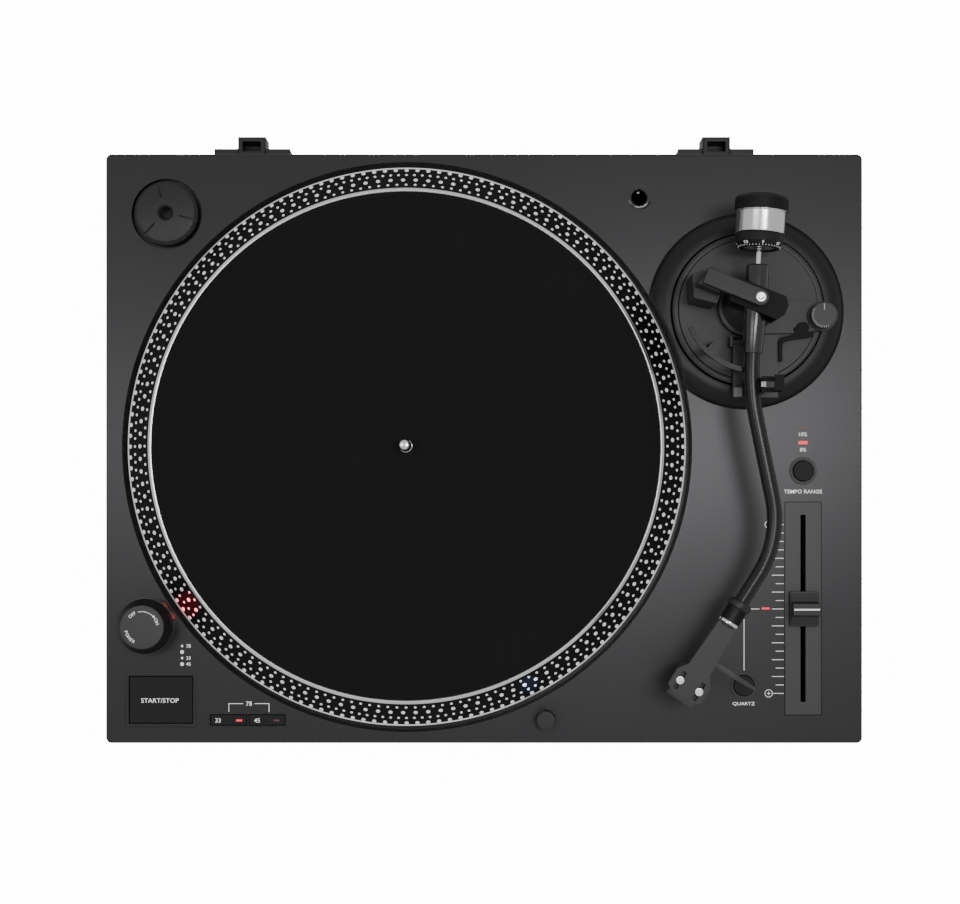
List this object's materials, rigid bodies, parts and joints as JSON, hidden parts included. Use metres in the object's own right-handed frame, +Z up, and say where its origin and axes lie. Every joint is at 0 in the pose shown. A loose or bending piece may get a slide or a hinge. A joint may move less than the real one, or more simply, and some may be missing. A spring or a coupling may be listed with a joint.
{
  "type": "direct-drive turntable record player",
  "caption": "Direct-drive deck that plays records: dotted metal platter, S-shaped balanced tonearm on a height-adjustable base, tempo fader, speed and start buttons, strobe and pop-up lamp.",
  "frame": {"origin": "centre of the object's bounding box seen from above, on the surface its feet stand on", "axes": "+Z up, +X to the right along the width, +Y to the rear; the controls face -Y"},
  "size_m": [0.452, 0.366, 0.1553],
  "materials": {
    "top_cover": "satin dark charcoal paint",
    "base_tray": "fine-grained black moulding",
    "case_screws": "blackened steel",
    "foot_front_left": "matt",
    "foot_front_right": "matt",
    "foot_rear_left": "matt",
    "foot_rear_right": "matt",
    "main_board": "glass-fibre circuit board",
    "hinge_sockets": "matt",
    "motor_housing": "zinc-plated",
    "bearing_bush": "turned",
    "stator_coils": "enamelled copper wire",
    "spindle_shaft": "polished",
    "rotor_magnet": "dull ferrite",
    "platter": "black anodised with bright turned edges and silver dots",
    "slip_mat": "matt, finely grooved",
    "adapter_45": "satin",
    "headshell_holder": "satin",
    "button_collars": "satin black",
    "target_light": "satin, with a white lamp",
    "strobe_housing": "satin black",
    "power_knob": "fine satin",
    "control_bezels": "gloss",
    "start_stop_button": "satin",
    "button_33": "satin, with a red light bar",
    "button_45": "satin, with an unlit light bar",
    "quartz_button": "satin",
    "tempo_range_button": "satin",
    "indicator_lights": "red lit bars",
    "fader_plate": "satin",
    "fader_knob": "satin, with a white line",
    "fader_body": "tinned",
    "terminal_panel": "satin",
    "rear_jacks": "gold-plated",
    "ground_terminal": "knurled",
    "selector_switch": "matt",
    "arm_base_ring": "semi-gloss black",
    "height_ring": "knurled, satin",
    "arm_base_plate": "satin grey paint",
    "cue_lever": "satin, with a light grey tip",
    "height_lock_lever": "satin",
    "anti_skate_dial": "satin, with a fine scale",
    "arm_lifter": "gloss black with a rubber top",
    "arm_rest": "black",
    "arm_clamp": "gloss black",
    "bearing_bridge": "satin black",
    "pivot_screw": "polished",
    "gimbal": "satin black",
    "arm_sleeve": "gloss black",
    "arm_tube": "semi-gloss black anodised",
    "locking_collar": "black with a bright ring",
    "counterweight_rod": "polished",
    "weight_sleeve": "threaded",
    "counterweight": "polished, with a black grip ring",
    "pressure_dial": "satin, with a number scale",
    "headshell": "satin dark grey",
    "finger_lift": "satin dark grey",
    "cartridge_screws": "bright",
    "cartridge": "black",
    "stylus": "black"
  },
  "bodies": {
    "plinth": {"top_cover": "top_cover", "base_tray": "base_tray", "case_screws": "case_screws", "hinge_sockets": "hinge_sockets", "main_board": "main_board", "motor_housing": "motor_housing", "bearing_bush": "bearing_bush", "stator_coils": "stator_coils", "headshell_holder": "headshell_holder", "button_collars": "button_collars", "strobe_housing": "strobe_housing", "control_bezels": "control_bezels", "indicator_lights": "indicator_lights", "fader_plate": "fader_plate", "fader_body": "fader_body", "terminal_panel": "terminal_panel", "rear_jacks": "rear_jacks", "arm_base_ring": "arm_base_ring"},
    "platter_set": {"spindle_shaft": "spindle_shaft", "rotor_magnet": "rotor_magnet", "platter": "platter", "slip_mat": "slip_mat"},
    "adapter": {"adapter_45": "adapter_45"},
    "power_knob_body": {"power_knob": "power_knob"},
    "start_stop": {"start_stop_button": "start_stop_button"},
    "speed_33": {"button_33": "button_33"},
    "speed_45": {"button_45": "button_45"},
    "quartz": {"quartz_button": "quartz_button"},
    "tempo_range": {"tempo_range_button": "tempo_range_button"},
    "lamp_post": {"target_light": "target_light"},
    "fader": {"fader_knob": "fader_knob"},
    "ground_screw": {"ground_terminal": "ground_terminal"},
    "selector": {"selector_switch": "selector_switch"},
    "foot_fl": {"foot_front_left": "foot_front_left"},
    "foot_fr": {"foot_front_right": "foot_front_right"},
    "foot_rl": {"foot_rear_left": "foot_rear_left"},
    "foot_rr": {"foot_rear_right": "foot_rear_right"},
    "arm_base": {"arm_base_plate": "arm_base_plate", "arm_rest": "arm_rest", "bearing_bridge": "bearing_bridge", "pivot_screw": "pivot_screw"},
    "height_adjuster": {"height_ring": "height_ring"},
    "height_lock": {"height_lock_lever": "height_lock_lever"},
    "skate_dial": {"anti_skate_dial": "anti_skate_dial"},
    "lifter": {"arm_lifter": "arm_lifter"},
    "cue": {"cue_lever": "cue_lever"},
    "clamp": {"arm_clamp": "arm_clamp"},
    "yoke": {"gimbal": "gimbal"},
    "arm": {"arm_sleeve": "arm_sleeve", "arm_tube": "arm_tube", "counterweight_rod": "counterweight_rod"},
    "thread_sleeve": {"weight_sleeve": "weight_sleeve"},
    "weight": {"counterweight": "counterweight"},
    "force_dial": {"pressure_dial": "pressure_dial"},
    "lock_ring": {"locking_collar": "locking_collar"},
    "shell": {"headshell": "headshell", "finger_lift": "finger_lift", "cartridge_screws": "cartridge_screws", "cartridge": "cartridge", "stylus": "stylus"}
  },
  "joints": [
    {"name": "platter_spin", "type": "hinge", "parent": "plinth", "child": "platter_set", "pos_m": [-0.046, -0.006, 0.094], "axis": [0, 0, -1], "continuous": true},
    {"name": "foot_fl_turn", "type": "hinge", "parent": "plinth", "child": "foot_fl", "pos_m": [-0.18, -0.137, 0.028], "axis": [0, 0, -1], "range_deg": [0, 720]},
    {"name": "foot_fr_turn", "type": "hinge", "parent": "plinth", "child": "foot_fr", "pos_m": [0.18, -0.137, 0.028], "axis": [0, 0, -1], "range_deg": [0, 720]},
    {"name": "foot_rl_turn", "type": "hinge", "parent": "plinth", "child": "foot_rl", "pos_m": [-0.18, 0.123, 0.028], "axis": [0, 0, -1], "range_deg": [0, 720]},
    {"name": "foot_rr_turn", "type": "hinge", "parent": "plinth", "child": "foot_rr", "pos_m": [0.18, 0.123, 0.028], "axis": [0, 0, -1], "range_deg": [0, 720]},
    {"name": "adapter_lift_off", "type": "slide", "parent": "plinth", "child": "adapter", "axis": [0, 0, 1], "range_m": [0, 0.025]},
    {"name": "power_turn", "type": "hinge", "parent": "plinth", "child": "power_knob_body", "pos_m": [-0.2001, -0.1122, 0.114], "axis": [0, 0, 1], "range_deg": [0, 60]},
    {"name": "start_stop_press", "type": "slide", "parent": "plinth", "child": "start_stop", "axis": [0, 0, -1], "range_m": [0, 0.001], "stiffness_N_per_m": 1500, "springref_m": -0.0006},
    {"name": "speed_33_press", "type": "slide", "parent": "plinth", "child": "speed_33", "axis": [0, 0, -1], "range_m": [0, 0.001], "stiffness_N_per_m": 600, "springref_m": -0.0008},
    {"name": "speed_45_press", "type": "slide", "parent": "plinth", "child": "speed_45", "axis": [0, 0, -1], "range_m": [0, 0.001], "stiffness_N_per_m": 600, "springref_m": -0.0008},
    {"name": "quartz_press", "type": "slide", "parent": "plinth", "child": "quartz", "axis": [0, 0, -1], "range_m": [0, 0.001], "stiffness_N_per_m": 600, "springref_m": -0.0008},
    {"name": "tempo_range_press", "type": "slide", "parent": "plinth", "child": "tempo_range", "axis": [0, 0, -1], "range_m": [0, 0.001], "stiffness_N_per_m": 600, "springref_m": -0.0008},
    {"name": "target_light_retract", "type": "slide", "parent": "plinth", "child": "lamp_post", "axis": [0, 0, -1], "range_m": [0, 0.0085]},
    {"name": "tempo_slide", "type": "slide", "parent": "plinth", "child": "fader", "axis": [0, 1, 0], "range_m": [-0.05, 0.05]},
    {"name": "ground_terminal_turn", "type": "hinge", "parent": "plinth", "child": "ground_screw", "pos_m": [-0.107, 0.168, 0.044], "axis": [0, 1, 0], "range_deg": [0, 720]},
    {"name": "output_select", "type": "slide", "parent": "plinth", "child": "selector", "axis": [1, 0, 0], "range_m": [0, 0.004]},
    {"name": "arm_base_rise", "type": "slide", "parent": "plinth", "child": "arm_base", "axis": [0, 0, 1], "range_m": [0, 0.006]},
    {"name": "height_ring_turn", "type": "hinge", "parent": "plinth", "child": "height_adjuster", "pos_m": [0.156, 0.0748, 0.1043], "axis": [0, 0, -1], "range_deg": [0, 271]},
    {"name": "height_lock_turn", "type": "hinge", "parent": "arm_base", "child": "height_lock", "pos_m": [0.187, 0.0632, 0.105], "axis": [0, 0, 1], "range_deg": [0, 15]},
    {"name": "anti_skate_turn", "type": "hinge", "parent": "arm_base", "child": "skate_dial", "pos_m": [0.1984, 0.0702, 0.111], "axis": [0, 0, -1], "range_deg": [0, 150]},
    {"name": "arm_clamp_turn", "type": "hinge", "parent": "arm_base", "child": "clamp", "pos_m": [0.159, 0.028, 0.137], "axis": [0, -1, 0], "range_deg": [0, 90]},
    {"name": "tonearm_swing", "type": "hinge", "parent": "arm_base", "child": "yoke", "pos_m": [0.1548, 0.0756, 0.137], "axis": [0, 0, -1], "range_deg": [0, 45]},
    {"name": "tonearm_lift", "type": "hinge", "parent": "yoke", "child": "arm", "pos_m": [0.1548, 0.0756, 0.137], "axis": [-0.9272, 0.3746, 0], "range_deg": [0, 4]},
    {"name": "lifter_rise", "type": "slide", "parent": "arm_base", "child": "lifter", "axis": [0, 0, 1], "range_m": [0, 0.0028]},
    {"name": "cue_lever_turn", "type": "hinge", "parent": "arm_base", "child": "cue", "pos_m": [0.1484, 0.055, 0.1115], "axis": [-1, 0, 0], "range_deg": [0, 36.1]},
    {"name": "weight_advance", "type": "slide", "parent": "arm", "child": "thread_sleeve", "axis": [0.061, 0.9981, 0], "range_m": [-0.006, 0.006]},
    {"name": "weight_turn", "type": "hinge", "parent": "thread_sleeve", "child": "weight", "pos_m": [0.1548, 0.0756, 0.137], "axis": [0.061, 0.9981, 0], "range_deg": [-1081, 1081]},
    {"name": "force_dial_turn", "type": "hinge", "parent": "weight", "child": "force_dial", "pos_m": [0.1548, 0.0756, 0.137], "axis": [0.061, 0.9981, 0], "continuous": true},
    {"name": "lock_ring_turn", "type": "hinge", "parent": "arm", "child": "lock_ring", "pos_m": [0.1385, -0.109, 0.137], "axis": [-0.5299, -0.848, 0], "range_deg": [0, 60]},
    {"name": "headshell_pull", "type": "slide", "parent": "arm", "child": "shell", "axis": [-0.5299, -0.848, 0], "range_m": [0, 0.015]}
  ],
  "couplings": [
    {"joint": "height_ring_turn", "follows": "arm_base_rise", "rad_per_m": 785.4},
    {"joint": "lifter_rise", "follows": "tonearm_lift", "m_per_rad": 0.036955},
    {"joint": "cue_lever_turn", "follows": "tonearm_lift", "ratio": 9},
    {"joint": "weight_turn", "follows": "weight_advance", "rad_per_m": 3141.6}
  ]
}
